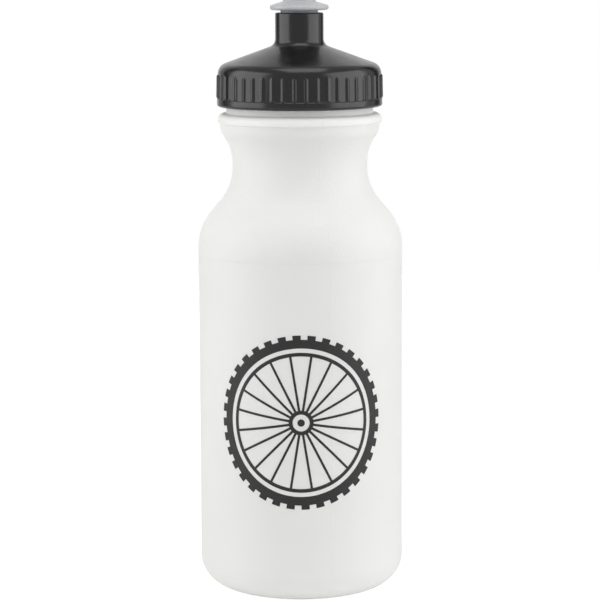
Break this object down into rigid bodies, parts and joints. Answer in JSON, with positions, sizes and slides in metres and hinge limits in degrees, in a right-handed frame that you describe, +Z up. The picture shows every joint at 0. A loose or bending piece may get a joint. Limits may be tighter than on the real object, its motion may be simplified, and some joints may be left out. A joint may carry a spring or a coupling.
{
  "type": "water bottle",
  "caption": "Squeeze bottle for a bicycle cage, with a gripping waist, a ribbed screw cap and a push-pull drinking spout.",
  "frame": {"origin": "centre of the base, on the surface that the bottle stands on", "axes": "+Z up along the bottle's axis, -Y towards the side that carries the print, +X to the right of a viewer facing the print"},
  "size_m": [0.0734, 0.0734, 0.2152],
  "materials": {
    "body_plastic": "white, faintly translucent low-density polyethylene, satin with a fine pebble texture above the label panel",
    "cap_plastic": "black, glossy injection-moulded polypropylene",
    "seal_rubber": "grey soft silicone",
    "spout_plastic": "blue-grey, semi-translucent soft polyethylene, satin",
    "print_ink": "black screen-printing ink"
  },
  "bodies": {
    "bottle": {"bottle_body": "body_plastic"},
    "seal": {"cap_seal_ring": "seal_rubber"},
    "cap": {"screw_cap": "cap_plastic"},
    "spout": {"pull_spout": "spout_plastic"}
  },
  "joints": [
    {"name": "cap_lift", "type": "slide", "parent": "bottle", "child": "seal", "axis": [0, 0, 1], "range_m": [0, 0.015]},
    {"name": "cap_turn", "type": "hinge", "parent": "seal", "child": "cap", "pos_m": [0, 0, 0.18], "axis": [0, 0, 1], "range_deg": [0, 1080]},
    {"name": "spout_pull", "type": "slide", "parent": "cap", "child": "spout", "axis": [0, 0, 1], "range_m": [0, 0.0062]}
  ],
  "couplings": [
    {"joint": "cap_lift", "follows": "cap_turn", "m_per_rad": 0.00079577}
  ]
}
